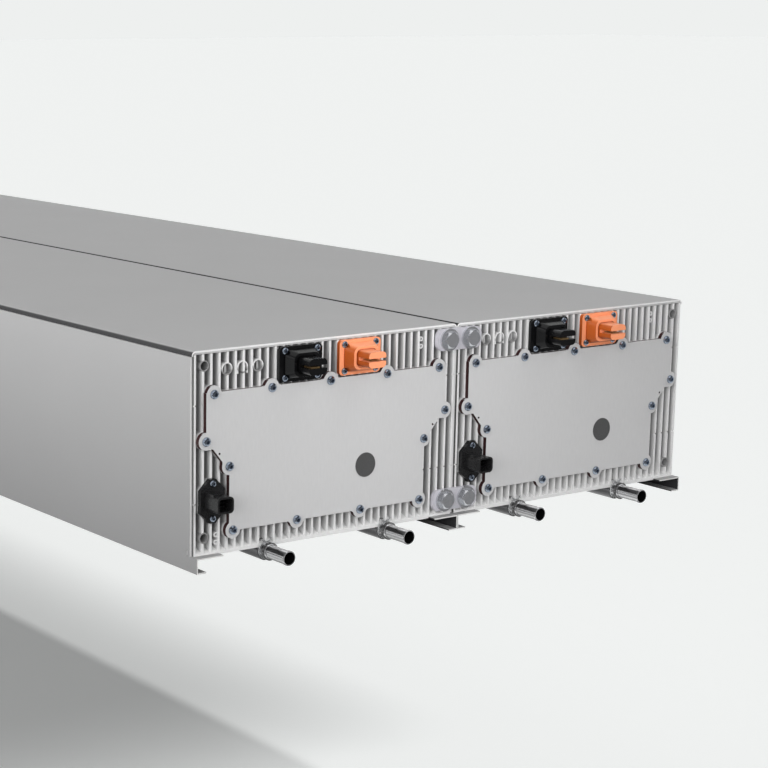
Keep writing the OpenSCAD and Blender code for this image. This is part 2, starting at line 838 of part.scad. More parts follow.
module port_clips() color("whitesmoke") port_axes() {
    clip_back = -2 - clear;
    plate_y(clip_back - clip_t, clip_back) difference() {
        union() {
            circle(d = clip_d);
            translate([0, clip_d / 2 - 2]) polygon([[-4, 0], [4, 0], [8, 5], [5, 5], [0, 1], [-5, 5], [-8, 5]]);
        }
        circle(d = stub_d + 2 * clear);
        translate([-4, -clip_d]) square([8, clip_d]);
    }
}

// Cold plate with a U-shaped coolant groove on its underside
module cold_plate() color("silver") difference() {
    plate_end = module_len - casting_depth - 6;
    plate_y0 = casting_depth + 6;
    groove_end = plate_end - 1.5 * groove_w;
    box_at(0, plate_y0, floor_top, 2 * inner_half_w - 4, plate_end - plate_y0, cold_plate_t);
    for (s = [-1, 1]) box_at(fit_x + s * port_x, plate_y0 - past, floor_top - past, groove_w,
        groove_end - plate_y0 + past, coolant_groove_h + past);
    box_at(fit_x, groove_end - groove_w, floor_top - past, 2 * port_x + groove_w, groove_w,
        coolant_groove_h + past);
}

// Cells with their terminals
module one_cell() {
    box_at(0, 0, 0, cell_w, cell_t, cell_h);
    for (s = [-1, 1]) translate([s * terminal_x, cell_t / 2, cell_h - join]) {
        cylinder(d = terminal_d, h = terminal_h + join);
    }
}

module cells() color("steelblue") {
    for (s = [-1, 1], i = [0 : cells_per_row - 1]) {
        translate([s * row_x, stack_y + i * cell_pitch, cell_z]) one_cell();
    }
}

module cell_pads() color("ivory") {
    for (s = [-1, 1]) {
        for (i = [1 : cells_per_row - 1]) {
            box_at(s * row_x, stack_y + i * cell_pitch - pad_t, cell_z + clear, cell_w, pad_t,
                cell_h - clear);
        }
        box_at(s * row_x, stack_y, cold_top, cell_w, stack_len, thermal_t);
    }
}

module end_plates() color("silver") {
    for (y = [front_bay, stack_end]) {
        box_at(0, y, cold_top, 2 * cell_w + divider_t, end_plate_t, end_plate_h);
    }
}

module insulation_boards() color("khaki") {
    box_at(0, stack_y, cold_top, divider_t, stack_len, cell_h + thermal_t);
    for (s = [-1, 1]) {
        box_at(s * (inner_half_w - side_gap / 2), stack_y, cold_top, side_gap, stack_len,
            cell_h * 0.9);
    }
}

// Busbars on the terminals, the link between the rows and the two bars to the power sockets
module busbars() color("peru") {
    inner_x = row_x - terminal_x;
    outer_x = row_x + terminal_x;
    for (s = [-1, 1], i = [0 : cells_per_row - 2]) {
        x = i % 2 == 0 ? outer_x : inner_x;
        box_at(s * x, cell_mid_y + i * cell_pitch - bar_w / 2, terminal_top, bar_w,
            cell_pitch + bar_w, bar_t);
    }
    last_y = cell_mid_y + (cells_per_row - 1) * cell_pitch;
    box_at(0, last_y - bar_w / 2, terminal_top, 2 * inner_x + bar_w, bar_w, bar_t);
    for (s = [-1, 1]) {
        box_at(s * inner_x, barrel_end, terminal_top, bar_w, cell_mid_y + bar_w / 2 - barrel_end,
            bar_t);
        tab_in = s * inner_x - s * bar_w / 2;
        tab_out = fit_x + s * (socket_x + barrel_w / 2);
        translate([min(tab_in, tab_out), barrel_end, socket_abs_z - barrel_h / 2]) {
            cube([abs(tab_out - tab_in), bar_t, terminal_top + bar_t - socket_abs_z + barrel_h / 2]);
        }
    }
}

module sense_strip() color("darkgreen") {
    box_at(0, stack_y, cell_top, strip_w, stack_len, strip_t);
}

// Electronics in the space behind the access cover
module electronics_tray() color("silver") {
    box_at(0, electronics_y, cold_top, tray_w, tray_len, tray_t);
    box_at(0, electronics_y + tray_len - tray_t, cold_top, tray_w, tray_t, tray_h);
    board_posts() bar_y(6, electronics_y + tray_len - tray_t - post_len,
        electronics_y + tray_len - tray_t + join);
}

module board_posts() {
    for (sx = [-1, 1], sz = [-1, 1]) {
        translate([sx * (board_w / 2 - 8), 0, board_mid_z + sz * (board_h / 2 - 8)]) children();
    }
}

module control_board() color("darkgreen") {
    board_back = electronics_y + tray_len - tray_t - post_len;
    box_at(0, board_back - board_t, board_mid_z - board_h / 2, board_w, board_t, board_h);
    for (i = [-2 : 2]) {
        box_at(i * chip_pitch, board_back - board_t - chip_t, board_mid_z - chip_w / 2, chip_w,
            chip_t + join, chip_w);
    }
}

module contactors() color("dimgray") {
    for (s = [-1, 1]) {
        box_at(s * contactor_x, electronics_y + 6, cold_top + tray_t, contactor_w, contactor_len,
            contactor_h);
    }
}

module fuse() color("beige") {
    fuse_x = contactor_x + contactor_w / 2 + fuse_d / 2 + 6;
    translate([-fuse_x, electronics_y + contactor_len / 2 + 6, cold_top + tray_t]) {
        cylinder(d = fuse_d, h = fuse_len * 0.6);
        translate([0, 0, fuse_len * 0.6 - join]) cylinder(d = fuse_d * 0.6, h = 6 + join);
    }
}

// Link plates and bolts that join the two modules at both ends
module both_ends() {
    translate([0, front_y, 0]) children();
    translate([0, front_y + module_len, 0]) mirror([0, 1, 0]) children();
}

module link_plates() color("lightsteelblue") both_ends() {
    for (z = [link_low_z, link_high_z]) translate([0, 0, casting_z + z]) {
        plate_y(-link_t, 0) difference() {
            round_rect(link_w, link_h, 9);
            for (s = [-1, 1]) translate([s * link_x / 2, 0]) circle(d = link_bolt_d + 2 * clear);
        }
    }
}

module link_bolt() {
    rotate([-90, 0, 0]) {
        cylinder(d = link_bolt_d * tapped - clear, h = link_t + corner_hole_len - 3);
        translate([0, 0, -bolt_flange_t]) cylinder(d = link_flange_d, h = bolt_flange_t);
        translate([0, 0, -bolt_head_h]) intersection() {
            cylinder(d = bolt_hex / cos(30), h = bolt_head_h, $fn = 6);
            rotate_extrude() polygon([[0, 0], [bolt_hex * 0.46, 0], [bolt_hex * 0.6, 2],
                [bolt_hex * 0.6, bolt_head_h], [0, bolt_head_h]]);
        }
    }
}

module link_bolts() color("silver") both_ends() {
    for (z = [link_low_z, link_high_z], s = [-1, 1]) {
        translate([s * link_x / 2, -link_t, casting_z + z]) link_bolt();
    }
}

in_module(-1) shell();  // left_shell
in_module(-1) top_cover();  // left_top_cover
in_module(-1) leg(-1);  // left_outer_leg
in_module(-1) leg(1);  // left_inner_leg
in_module(-1) front_casting();  // left_front_casting
in_module(-1) rear_casting();  // left_rear_casting
in_module(-1) cold_plate();  // left_cold_plate
in_module(-1) cells();  // left_cells
in_module(-1) cell_pads();  // left_cell_pads
in_module(-1) end_plates();  // left_end_plates
in_module(-1) insulation_boards();  // left_insulation_boards
in_module(-1) busbars();  // left_busbars
in_module(-1) sense_strip();  // left_sense_strip
in_module(-1) electronics_tray();  // left_electronics_tray
in_module(-1) control_board();  // left_control_board
in_module(-1) contactors();  // left_contactors
in_module(-1) fuse();  // left_fuse
in_module(-1) access_cover();  // left_access_cover
in_module(-1) cover_gasket();  // left_cover_gasket
in_module(-1) cover_screws();  // left_cover_screws
in_module(-1) vent_disc();  // left_vent_disc
in_module(-1) black_socket();  // left_black_socket
in_module(-1) orange_socket();  // left_orange_socket
in_module(-1) contacts();  // left_contacts
in_module(-1) connector_screws();  // left_connector_screws
in_module(-1) signal_socket();  // left_signal_socket
in_module(-1) coolant_stubs();  // left_coolant_stubs
in_module(-1) port_bosses();  // left_port_bosses
in_module(-1) port_clips();  // left_port_clips
in_module(1) shell();  // right_shell
in_module(1) top_cover();  // right_top_cover
in_module(1) leg(-1);  // right_inner_leg
in_module(1) leg(1);  // right_outer_leg
in_module(1) front_casting();  // right_front_casting
in_module(1) rear_casting();  // right_rear_casting
in_module(1) cold_plate();  // right_cold_plate
in_module(1) cells();  // right_cells
in_module(1) cell_pads();  // right_cell_pads
in_module(1) end_plates();  // right_end_plates
in_module(1) insulation_boards();  // right_insulation_boards
in_module(1) busbars();  // right_busbars
in_module(1) sense_strip();  // right_sense_strip
in_module(1) electronics_tray();  // right_electronics_tray
in_module(1) control_board();  // right_control_board
in_module(1) contactors();  // right_contactors
in_module(1) fuse();  // right_fuse
in_module(1) access_cover();  // right_access_cover
in_module(1) cover_gasket();  // right_cover_gasket
in_module(1) cover_screws();  // right_cover_screws
in_module(1) vent_disc();  // right_vent_disc
in_module(1) black_socket();  // right_black_socket
in_module(1) orange_socket();  // right_orange_socket
in_module(1) contacts();  // right_contacts
in_module(1) connector_screws();  // right_connector_screws
in_module(1) signal_socket();  // right_signal_socket
in_module(1) coolant_stubs();  // right_coolant_stubs
in_module(1) port_bosses();  // right_port_bosses
in_module(1) port_clips();  // right_port_clips
link_plates();
link_bolts();
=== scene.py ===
import math

import bpy
from mathutils import Matrix, Vector

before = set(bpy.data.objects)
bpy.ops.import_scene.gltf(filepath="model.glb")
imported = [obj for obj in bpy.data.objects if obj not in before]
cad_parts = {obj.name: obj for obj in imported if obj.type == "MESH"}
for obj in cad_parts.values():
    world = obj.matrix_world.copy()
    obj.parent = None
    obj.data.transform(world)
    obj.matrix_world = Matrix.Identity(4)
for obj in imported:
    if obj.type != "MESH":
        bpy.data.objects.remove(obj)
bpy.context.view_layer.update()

# Camera at the photo's viewing angle: metres, degrees, millimetres for lens and sensor
CAM_AT = (-1.6153, -2.9331, 0.6185)
CAM_AZIMUTH = 32.981
CAM_PITCH = 12.209
CAM_LENS = 96.199
CAM_SHIFT_X = 0.28293
CAM_SHIFT_Y = 0.09043
SENSOR = 36.0
CLIP_NEAR = 0.05
CLIP_FAR = 200.0

# Where things are, in metres
FLOOR_Z = -0.40
FLOOR_HALF = 60.0
FRONT_Y = -1.0825
END_MID_Y = 0.0175
HALF_LEN = 1.1
HALF_PITCH = 0.1907
WALL_X = 0.3812
HOLE_X = 0.3648
HOLE_ZS = (0.0377, 0.2339)
STUB_Z = 0.0126
STUB_XS = [side * HALF_PITCH + x for side in (-1, 1) for x in (-0.0896, 0.0844)]
RING_Z = 0.2283
RING_R = 0.00655
RING_XS = [side * HALF_PITCH + x for side in (-1, 1) for x in (-0.144, -0.1228, -0.1016)]

# Background and floor
BACKGROUND = (0.855, 0.871, 0.863)
# Share of the floor's tone that stays in the deepest shadow
FLOOR_BASE = 0.292
# How much light the floor throws back up at the object
FLOOR_BOUNCE = 0.25
# Mirrored in metal, the floor is dark on the camera's side, from the first line to the second
DARK_FLOOR = (-1.5, -1.9)

# A face is turned to an axis above the second of these cosines
FACING = (0.6, 0.8)
# Height of the fine bump in every material, in metres
BUMP_DEPTH = 0.0002


class Nodes:
    """Builds a node tree in short lines."""

    def __init__(self, tree):
        self.tree = tree
        self.tree.nodes.clear()
        self.coords = None

    def add(self, kind, **values):
        node = self.tree.nodes.new(kind)
        for key, value in values.items():
            setattr(node, key, value)
        return node

    def link(self, a, b):
        self.tree.links.new(a, b)

    def position(self):
        if self.coords is None:
            self.coords = self.add("ShaderNodeNewGeometry")
        return self.coords.outputs["Position"]

    def normal(self):
        self.position()
        return self.coords.outputs["Normal"]

    def axis(self, index, source=None):
        node = self.add("ShaderNodeSeparateXYZ")
        self.link(source or self.position(), node.inputs[0])
        return node.outputs[index]

    def math(self, op, a, b=None):
        node = self.add("ShaderNodeMath", operation=op)
        for i, v in enumerate((a, b)):
            if v is None:
                continue
            if isinstance(v, (int, float)):
                node.inputs[i].default_value = v
            else:
                self.link(v, node.inputs[i])
        return node.outputs[0]

    def both(self, a, b):
        return self.math("MULTIPLY", a, b)

    def size(self, value):
        return self.math("ABSOLUTE", value)

    def remap(self, value, lo, hi, to_lo, to_hi):
        node = self.add("ShaderNodeMapRange")
        node.inputs["From Min"].default_value = lo
        node.inputs["From Max"].default_value = hi
        node.inputs["To Min"].default_value = to_lo
        node.inputs["To Max"].default_value = to_hi
        self.link(value, node.inputs["Value"])
        return node.outputs[0]

    def step(self, value, lo, hi):
        """0 below lo, 1 above hi, a ramp between; lo may be above hi."""
        return self.remap(value, lo, hi, 0.0, 1.0)

    def band(self, value, middle, half, soft):
        """1 within half of the middle, 0 outside."""
        away = self.size(self.math("SUBTRACT", value, middle))
        return self.step(away, half + soft, half)

    def turned(self, index):
        """1 where the surface is square to an axis, either way."""
        return self.step(self.size(self.axis(index, self.normal())), *FACING)

    def radius(self, x, z, at_x, at_z):
        """Distance from a line along Y."""
        dx = self.math("SUBTRACT", x, at_x)
        dz = self.math("SUBTRACT", z, at_z)
        return self.math("SQRT", self.math("ADD", self.both(dx, dx), self.both(dz, dz)))

    def mix(self, fac, a, b):
        node = self.add("ShaderNodeMix", data_type="RGBA")
        self.link(fac, node.inputs[0])
        for socket, v in ((node.inputs[6], a), (node.inputs[7], b)):
            if isinstance(v, tuple):
                socket.default_value = (*v, 1.0)
            else:
                self.link(v, socket)
        return node.outputs[2]

    def scaled(self, color, gain):
        """A colour, or a node's output, times a number from a node."""
        node = self.add("ShaderNodeVectorMath", operation="SCALE")
        if isinstance(color, tuple):
            node.inputs[0].default_value = color
        else:
            self.link(color, node.inputs[0])
        self.link(gain, node.inputs["Scale"])
        return node.outputs[0]

    def noise(self, scale, detail, rough=0.5, stretch=None):
        src = self.position()
        if stretch:
            mapping = self.add("ShaderNodeMapping")
            mapping.inputs["Scale"].default_value = stretch
            self.link(src, mapping.inputs["Vector"])
            src = mapping.outputs[0]
        node = self.add("ShaderNodeTexNoise")
        node.inputs["Scale"].default_value = scale
        node.inputs["Detail"].default_value = detail
        node.inputs["Roughness"].default_value = rough
        self.link(src, node.inputs["Vector"])
        return node.outputs["Fac"]

    def seen_ray(self):
        """1 for camera, glossy and transmission rays."""
        path = self.add("ShaderNodeLightPath")
        total = path.outputs["Is Camera Ray"]
        for name in ("Is Glossy Ray", "Is Transmission Ray"):
            total = self.math("MAXIMUM", total, path.outputs[name])
        return total


class Material(Nodes):
    """A material with one Principled shader."""

    def __init__(self, name):
        self.mat = bpy.data.materials.new(name)
        self.mat.use_nodes = True
        super().__init__(self.mat.node_tree)
        out = self.add("ShaderNodeOutputMaterial")
        self.bsdf = self.add("ShaderNodeBsdfPrincipled")
        self.link(self.bsdf.outputs[0], out.inputs["Surface"])

    def set(self, socket, value):
        if isinstance(value, (int, float)):
            self.bsdf.inputs[socket].default_value = value
        elif isinstance(value, tuple):
            self.bsdf.inputs[socket].default_value = (*value, 1.0)
        else:
            self.link(value, self.bsdf.inputs[socket])

    def bump(self, height, strength):
        node = self.add("ShaderNodeBump")
        node.inputs["Strength"].default_value = strength
        node.inputs["Distance"].default_value = BUMP_DEPTH
        self.link(height, node.inputs["Height"])
        self.set("Normal", node.outputs[0])


# Grain: detail and roughness of the fine part, scale and detail of the broad clouds,
# the fine part's share, and the range of noise that is spread out
FINE_DETAIL = 3.0
FINE_ROUGH = 0.6
BROAD_SCALE = 9.0
BROAD_DETAIL = 2.0
FINE_SHARE = 0.75
NOISE_RANGE = (0.3, 0.7)
ROUGH_RANGE = (0.2, 0.8)
ROUGH_SPREAD = 0.05


def grain(n, color, rough, metal, scale, amount, bump, specular=0.5):
    """Fine grain in colour, roughness and height; color is a colour or a node's output."""
    fine = n.noise(scale, FINE_DETAIL, FINE_ROUGH)
    broad = n.noise(BROAD_SCALE, BROAD_DETAIL)
    blend = n.math("ADD", n.both(fine, FINE_SHARE), n.both(broad, 1.0 - FINE_SHARE))
    n.set("Base Color", n.scaled(color, n.remap(blend, *NOISE_RANGE, 1.0 - amount, 1.0 + amount)))
    n.set("Roughness", n.remap(fine, *ROUGH_RANGE, rough - ROUGH_SPREAD, rough + ROUGH_SPREAD))
    n.set("Metallic", metal)
    n.set("Specular IOR Level", specular)
    n.bump(fine, bump)
    return n.mat


def speckled(name, color, rough, metal=0.0, scale=900.0, amount=0.06, bump=0.1, specular=0.5):
    return grain(Material(name), color, rough, metal, scale, amount, bump, specular)


# Painted steel: its tone, its bare cut edges, and the painted shade towards the lower edge of the
# side
PAINT = (0.46, 0.46, 0.462)
EDGE = (0.80, 0.80, 0.795)
PAINT_ROUGH = 0.6
PAINT_METAL = 0.1
PAINT_GRAIN = 1400.0
PAINT_BUMP = 0.1
PAINT_SPECULAR = 0.05
SHADE_FADE_TOP = 0.25
SHADE_FADE_LOWEST = 0.60


def paint(n, tone, amount, specular=PAINT_SPECULAR):
    return grain(n, tone, PAINT_ROUGH, PAINT_METAL, PAINT_GRAIN, amount, PAINT_BUMP, specular)


def wall_shaded_tone(n):
    """Painted shade on the side: a little darker towards its lower edge."""
    return n.scaled(PAINT, n.remap(n.axis(2), 0.0, SHADE_FADE_TOP, SHADE_FADE_LOWEST, 1.0))


def shell_paint():
    n = Material("shell_paint")
    return paint(n, n.mix(n.turned(1), wall_shaded_tone(n), EDGE), 0.035)


# Top cover: its bent edge, with painted shade, starts where the normal turns sideways; half
# width of the middle joint, with painted shade in it
BEND_TURN = (0.45, 0.75)
BEND_SHADE = (0.07, 0.07, 0.072)
JOINT_X = (0.0042, 0.003)
JOINT_SHADE = (0.02, 0.02, 0.02)


def cover_paint():
    """Top cover: bare front edge, painted shade on its bent outer edges and in the joint in the
    middle.
    """
    n = Material("cover_paint")
    side = n.step(n.size(n.axis(0, n.normal())), *BEND_TURN)
    tone = n.mix(side, PAINT, BEND_SHADE)
    tone = n.mix(n.step(n.size(n.axis(0)), *JOINT_X), tone, JOINT_SHADE)
    return paint(n, n.mix(n.turned(1), tone, EDGE), 0.03, 0.0)


# Legs: how far inside the wall's face the painted shade of their inner faces begins, and the
# tones of their other faces
INSIDE_SHADE_FROM = (0.0008, 0.0003)
LEG_INSIDE_SHADE = (0.035, 0.035, 0.037)
LEG_FRONT = (0.72, 0.72, 0.71)
LEG_TOP = (0.36, 0.36, 0.36)


def leg_paint():
    """Legs: painted outside, bare front edges and top faces, painted shade inside."""
    n = Material("leg_paint")
    outer = n.step(n.size(n.axis(0)), *(WALL_X - inside for inside in INSIDE_SHADE_FROM))
    tone = n.mix(outer, LEG_INSIDE_SHADE, wall_shaded_tone(n))
    tone = n.mix(n.turned(1), tone, LEG_FRONT)
    tone = n.mix(n.step(n.axis(2, n.normal()), *FACING), tone, LEG_TOP)
    return paint(n, tone, 0.035)


# Casting, in metres: depth behind the rib fronts where painted shade darkens it, heights between
# which painted light from the lower rim brightens it and by what share, height of its top, its
# half width, radius of a corner boss, and where painted shade darkens a ring boss below
RIB_SHADE = (0.0012, 0.007)
RIM_LIGHT = (0.050, 0.022)
RIM_SHARE = 0.8
CASTING_TOP = (0.2466, 0.2470)
CASTING_SIDE = (0.1876, 0.1879)
CORNER_R = (0.0066, 0.0062)
RING_LOWER = (0.001, -0.003)
RING_HALF_WALL = 0.0009
RING_SOFT = 0.0003
# Tones: rib fronts; painted shade for the hollows, the side slot and the bosses; the casting's
# top
RIB_FRONT_TONE = (0.79, 0.79, 0.787)
HOLLOW_SHADE = (0.36, 0.36, 0.362)
TOP_TONE = (0.50, 0.50, 0.50)
SLOT_TONE = (0.10, 0.10, 0.10)
BOSS_SHADE = (0.30, 0.30, 0.30)


def cast_aluminium():
    """Pale rib fronts, painted shade in the hollows, lifted by painted light towards the lower
    rim.
    """
    n = Material("cast_aluminium")
    x, y, z = (n.axis(i) for i in range(3))
    abs_x = n.size(x)
    depth = n.math("SUBTRACT", HALF_LEN, n.size(n.math("SUBTRACT", y, END_MID_Y)))
    lit = n.both(n.step(z, *RIM_LIGHT), RIM_SHARE)
    # Painted shade behind the rib fronts, taken back by painted light near the lower rim
    deep = n.both(n.step(depth, *RIB_SHADE), n.math("SUBTRACT", 1.0, lit))
    tone = n.mix(deep, RIB_FRONT_TONE, HOLLOW_SHADE)
    tone = n.mix(n.step(z, *CASTING_TOP), tone, TOP_TONE)
    # The slot between the casting's side and the side wall lies in shade
    side = n.step(n.size(n.math("SUBTRACT", abs_x, HALF_PITCH)), *CASTING_SIDE)
    tone = n.mix(n.both(side, n.turned(0)), tone, SLOT_TONE)
    # Painted shade on the tapped corner bosses
    low, high = (n.radius(abs_x, z, HOLE_X, hole_z) for hole_z in HOLE_ZS)
    tone = n.mix(n.step(n.math("MINIMUM", low, high), *CORNER_R), tone, BOSS_SHADE)
    # Ring bosses: bright above, painted shade below
    lower = n.step(n.math("SUBTRACT", z, RING_Z), *RING_LOWER)
    for ring_x in RING_XS:
        ring = n.band(n.radius(x, z, ring_x, RING_Z), RING_R, RING_HALF_WALL, RING_SOFT)
        tone = n.mix(n.both(ring, lower), tone, BOSS_SHADE)
    return grain(n, tone, 0.45, 0.12, 800.0, 0.04, 0.1, 0.2)


# Access cover: two tones of its grain, the painted shade on its left edge and the normal's turn
# where that starts, the grain's scale and stretch, and its range of roughness
SHEET_DARK = (0.56, 0.56, 0.563)
SHEET_PALE = (0.62, 0.62, 0.623)
SHEET_LEFT_SHADE = (0.03, 0.012, 0.012)
SHEET_GRAIN = 420.0
UPRIGHT = (1.0, 1.0, 0.18)
SHEET_EDGE_TURN = (-0.3, -0.6)
SHEET_ROUGH = (0.40, 0.55)
SHEET_METAL = 0.12
SHEET_SPECULAR = 0.2
SHEET_BUMP = 0.15


def cover_sheet():
    """Access cover: a fine upright grain, painted shade on its left edge."""
    n = Material("cover_sheet")
    brushed = n.noise(SHEET_GRAIN, BROAD_DETAIL, FINE_ROUGH, UPRIGHT)
    left_shade = n.step(n.axis(0, n.normal()), *SHEET_EDGE_TURN)
    n.set("Base Color", n.mix(left_shade, n.mix(brushed, SHEET_DARK, SHEET_PALE), SHEET_LEFT_SHADE))
    n.set("Roughness", n.remap(brushed, *ROUGH_RANGE, *SHEET_ROUGH))
    n.set("Metallic", SHEET_METAL)
    n.set("Specular IOR Level", SHEET_SPECULAR)
    n.bump(brushed, SHEET_BUMP)
    return n.mat


# Contacts above this height are the power sockets' blades, below it the signal pins, which get
# painted shade
BLADES_Z = (0.14, 0.15)
PIN_SHADE = (0.02, 0.02, 0.021)
BLADE_TONE = (0.45, 0.30, 0.14)


def contact_metal():
    """Gold-brown blades in the power sockets, near-black painted shade on the pins in the signal
    sockets.
    """
    n = Material("contact_metal")
    tone = n.mix(n.step(n.axis(2), *BLADES_Z), PIN_SHADE, BLADE_TONE)
    return grain(n, tone, 0.3, 0.85, 500.0, 0.06, 0.1)


# Coolant tubes: painted reflections and shade by how far the surface turns up, and radii of
# bore and collar in metres
TUBE_FLANK = (0.50, 0.50, 0.51)
TUBE_UNDER_SHADE = (0.20, 0.20, 0.205)
# Painted reflection lines along the tube: where, half width and softness in the normal's turn,
# tone
TUBE_REFLECTION_LINES = [
    (-0.38, 0.10, 0.06, (0.88, 0.88, 0.89)),
    (0.62, 0.20, 0.08, (0.06, 0.06, 0.062)),
]
TUBE_CROWN_HIGHLIGHT = (0.95, 0.95, 0.96)
TUBE_RIM = (0.80, 0.80, 0.81)
UNDER_TURN = (-0.55, -0.75)
CROWN_TURN = (0.86, 0.93)
RIM_TURN = (-0.6, -0.9)
TUBE_BORE_SHADE = (0.004, 0.004, 0.004)
TUBE_COLLAR = (0.14, 0.14, 0.142)
BORE_R = (0.0077, 0.0075)
COLLAR_R = (0.0091, 0.0094)
TUBE_METAL = 0.75


def polished_tube():
    """Bright turned tube: a painted highlight along its crown, a dark painted reflection beside
    it, painted shade beneath, grey flanks.
    """
    n = Material("polished_tube")
    up = n.axis(2, n.normal())
    tone = n.mix(n.step(up, *UNDER_TURN), TUBE_FLANK, TUBE_UNDER_SHADE)
    for middle, half, soft, line in TUBE_REFLECTION_LINES:
        tone = n.mix(n.band(up, middle, half, soft), tone, line)
    tone = n.mix(n.step(up, *CROWN_TURN), tone, TUBE_CROWN_HIGHLIGHT)
    tone = n.mix(n.step(n.axis(1, n.normal()), *RIM_TURN), tone, TUBE_RIM)
    # Distance from the nearest tube's middle: the bore gets black painted shade, the collar is
    # dark
    x, z = n.axis(0), n.axis(2)
    radius = n.radius(x, z, STUB_XS[0], STUB_Z)
    for stub_x in STUB_XS[1:]:
        radius = n.math("MINIMUM", radius, n.radius(x, z, stub_x, STUB_Z))
    tone = n.mix(n.step(radius, *BORE_R), tone, TUBE_BORE_SHADE)
    tone = n.mix(n.step(radius, *COLLAR_R), tone, TUBE_COLLAR)
    metal = n.both(n.step(radius, *reversed(BORE_R)), TUBE_METAL)
    return grain(n, tone, 0.14, metal, 400.0, 0.04, 0.02)


# Orange plastic: the normal's turn to the left or down where it gets its painted shade
ORANGE_TURN = (-0.2, -0.7)
# The lit tone with painted sheen, then the painted shade
ORANGE_LIT = (0.93, 0.34, 0.17)
ORANGE_SHADED = (0.40, 0.08, 0.012)


def orange_plastic():
    """Moulded orange: painted light and sheen where it faces front and up, painted shade on its
    left and lower sides.
    """
    n = Material("orange_plastic")
    left, under = (n.step(n.axis(i, n.normal()), *ORANGE_TURN) for i in (0, 2))
    tone = n.mix(n.math("MAXIMUM", left, under), ORANGE_LIT, ORANGE_SHADED)
    return grain(n, tone, 0.35, 0.0, 700.0, 0.04, 0.04, 0.3)


# Colour, roughness, then metal, grain's scale, its strength in colour, bump and specular level
MATS = {
    "shell": shell_paint(),
    "top_cover": cover_paint(),
    "leg": leg_paint(),
    "casting": cast_aluminium(),
    "access_cover": cover_sheet(),
    "cover_gasket": speckled("gasket_rubber", (0.03, 0.007, 0.008), 0.7),
    "zinc": speckled("dark_zinc", (0.34, 0.39, 0.47), 0.16, 1.0, 500.0, 0.05, 0.03),
    "bolt": speckled("bolt_zinc", (0.62, 0.63, 0.66), 0.2, 0.85, 150.0, 0.05, 0.01),
    "link": speckled("link_zinc", (0.63, 0.62, 0.67), 0.42, 0.30, 300.0, 0.05, 0.05),
    "vent_disc": speckled("vent_weave", (0.078, 0.078, 0.079), 0.6, 0.2, 2500.0, 0.3),
    "black_socket": speckled(
        "black_plastic", (0.004, 0.004, 0.0045), 0.22, 0.0, 700.0, 0.1, 0.03, 0.3),
    "orange_socket": orange_plastic(),
    "contacts": contact_metal(),
    "signal_socket": speckled(
        "signal_plastic", (0.012, 0.012, 0.0125), 0.28, 0.0, 700.0, 0.1, 0.03, 0.35),
    "coolant_stubs": polished_tube(),
    "port_bosses": speckled("port_boss", (0.16, 0.16, 0.165), 0.25, 0.8, 700.0, 0.08, 0.05),
    "port_clips": speckled("spring_clip", (0.80, 0.81, 0.82), 0.2, 0.8, 400.0, 0.04, 0.03),
    "inner_metal": speckled("inner_metal", (0.6, 0.6, 0.61), 0.45, 0.7),
    "cells": speckled("cell_film", (0.05, 0.12, 0.3), 0.4, 0.1),
    "pads": speckled("pad_board", (0.6, 0.58, 0.5), 0.7),
    "busbars": speckled("copper", (0.72, 0.36, 0.2), 0.3, 0.95),
    "boards": speckled("board_lacquer", (0.01, 0.09, 0.03), 0.35),
    "inner_plastic": speckled("inner_plastic", (0.02, 0.02, 0.022), 0.5),
    "fuse": speckled("fuse_ceramic", (0.75, 0.72, 0.64), 0.3),
}

# Nodes whose material has another name; the rest have a material of their own name
NODE_MATS = {
    "outer_leg": "leg", "inner_leg": "leg",
    "front_casting": "casting", "rear_casting": "casting",
    "cold_plate": "inner_metal", "end_plates": "inner_metal", "electronics_tray": "inner_metal",
    "cell_pads": "pads", "insulation_boards": "pads",
    "sense_strip": "boards", "control_board": "boards", "contactors": "inner_plastic",
    "cover_screws": "zinc", "connector_screws": "zinc",
    "link_plates": "link", "link_bolts": "bolt",
}

for name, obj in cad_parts.items():
    key = name.replace("left_", "").replace("right_", "")
    obj.data.materials.clear()
    obj.data.materials.append(MATS[NODE_MATS.get(key, key)])


def stage_floor():
    """Pale floor that keeps the object's shadow."""
    h = FLOOR_HALF
    mesh = bpy.data.meshes.new("floor")
    corners = [(-h, -h, FLOOR_Z), (h, -h, FLOOR_Z), (h, h, FLOOR_Z), (-h, h, FLOOR_Z)]
    mesh.from_pydata(corners, [], [(0, 1, 2, 3)])
    obj = bpy.data.objects.new("floor", mesh)
    bpy.context.collection.objects.link(obj)
    n = Material("floor_pale")
    glossy = n.add("ShaderNodeLightPath").outputs["Is Glossy Ray"]
    near = n.both(glossy, n.step(n.axis(1), *DARK_FLOOR))
    seen = n.both(n.seen_ray(), n.math("SUBTRACT", 1.0, near))
    n.set("Base Color", n.mix(seen, (FLOOR_BOUNCE, FLOOR_BOUNCE, FLOOR_BOUNCE), BACKGROUND))
    n.set("Roughness", 0.9)
    n.set("Specular IOR Level", 0.0)
    n.set("Emission Color", BACKGROUND)
    n.set("Emission Strength", n.both(seen, FLOOR_BASE))
    mesh.materials.append(n.mat)
    return obj


# World: strength of its light on matt surfaces, and the tones that metal mirrors
WORLD_LIGHT = 0.12
STUDIO_DARK = (0.10, 0.10, 0.105)
STUDIO_BOX = (1.0, 1.0, 1.0)
# Where the mirrored things lie, by direction: an edge as low and high, a strip as middle,
# half width and softness
BEHIND_Y = (-0.15, 0.15)
TOP_BOX_Z = (0.52, 0.60)
TOP_BOX_X = (-0.15, 0.48, 0.07)
LEFT_BOX_Z = (0.22, 0.20, 0.05)
LEFT_BOX_X = (-0.72, -0.80)
RIGHT_BOX_Z = (0.10, 0.16, 0.05)
RIGHT_BOX_X = (0.60, 0.68)


